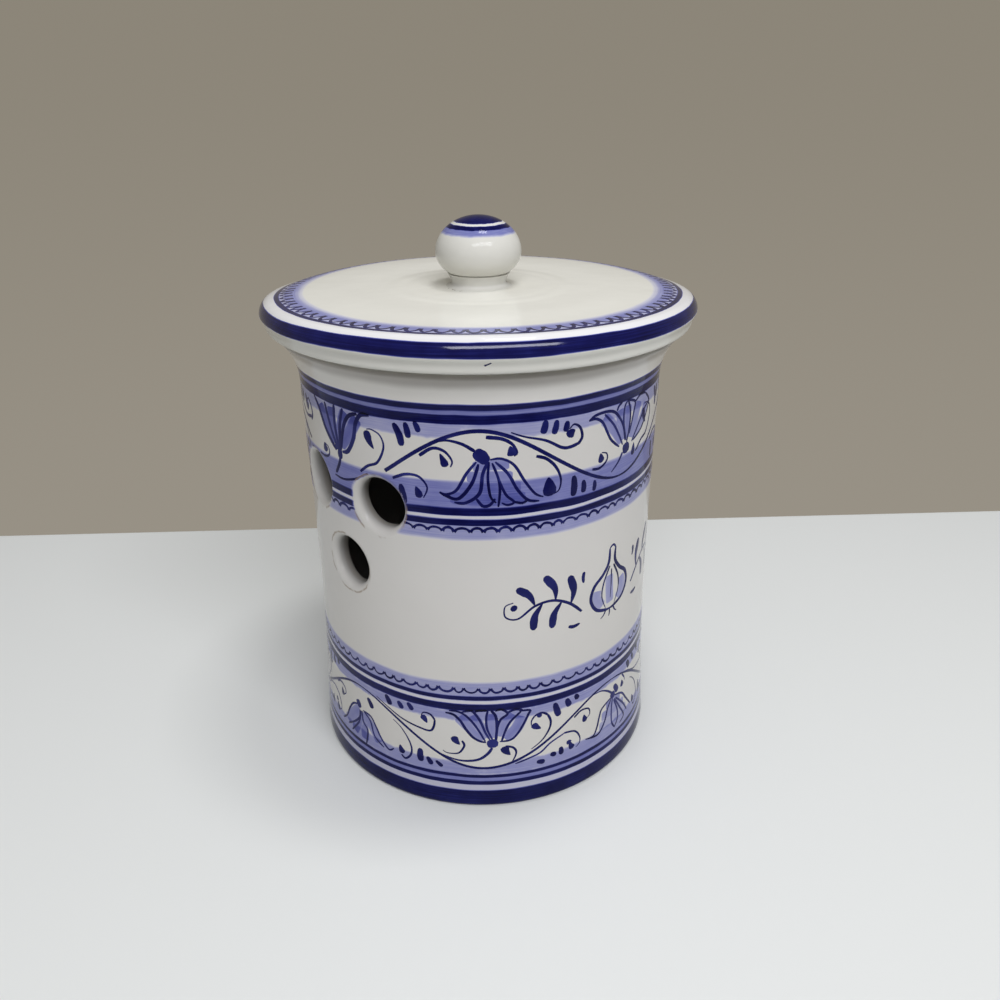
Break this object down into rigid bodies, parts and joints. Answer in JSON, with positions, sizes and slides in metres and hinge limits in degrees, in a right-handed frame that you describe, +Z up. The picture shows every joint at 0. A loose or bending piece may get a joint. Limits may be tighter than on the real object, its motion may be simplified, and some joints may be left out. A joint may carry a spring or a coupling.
{
  "type": "garlic keeper",
  "caption": "Lidded glazed ceramic jar for keeping garlic, with round vents through its wall, a flared lip and a flat overhanging lid with a ball knob.",
  "frame": {"origin": "centre of the foot, on the plane it stands on", "axes": "+Z up along the turning axis; the jar's front faces -Y, and its vents face -X and +X"},
  "size_m": [0.141, 0.141, 0.1866],
  "materials": {
    "jar_glaze": "glossy white tin glaze with cobalt brushwork",
    "lid_glaze": "glossy white tin glaze with cobalt rings",
    "knob_glaze": "glossy white tin glaze with cobalt rings"
  },
  "bodies": {
    "jar": {"jar_body": "jar_glaze"},
    "lid": {"lid_plate": "lid_glaze", "lid_locating_ring": "lid_glaze", "knob_collar": "knob_glaze", "knob_ball": "knob_glaze"}
  },
  "joints": [
    {"name": "lid_lift", "type": "slide", "parent": "jar", "child": "lid", "axis": [0, 0, 1], "range_m": [0, 0.08]}
  ]
}
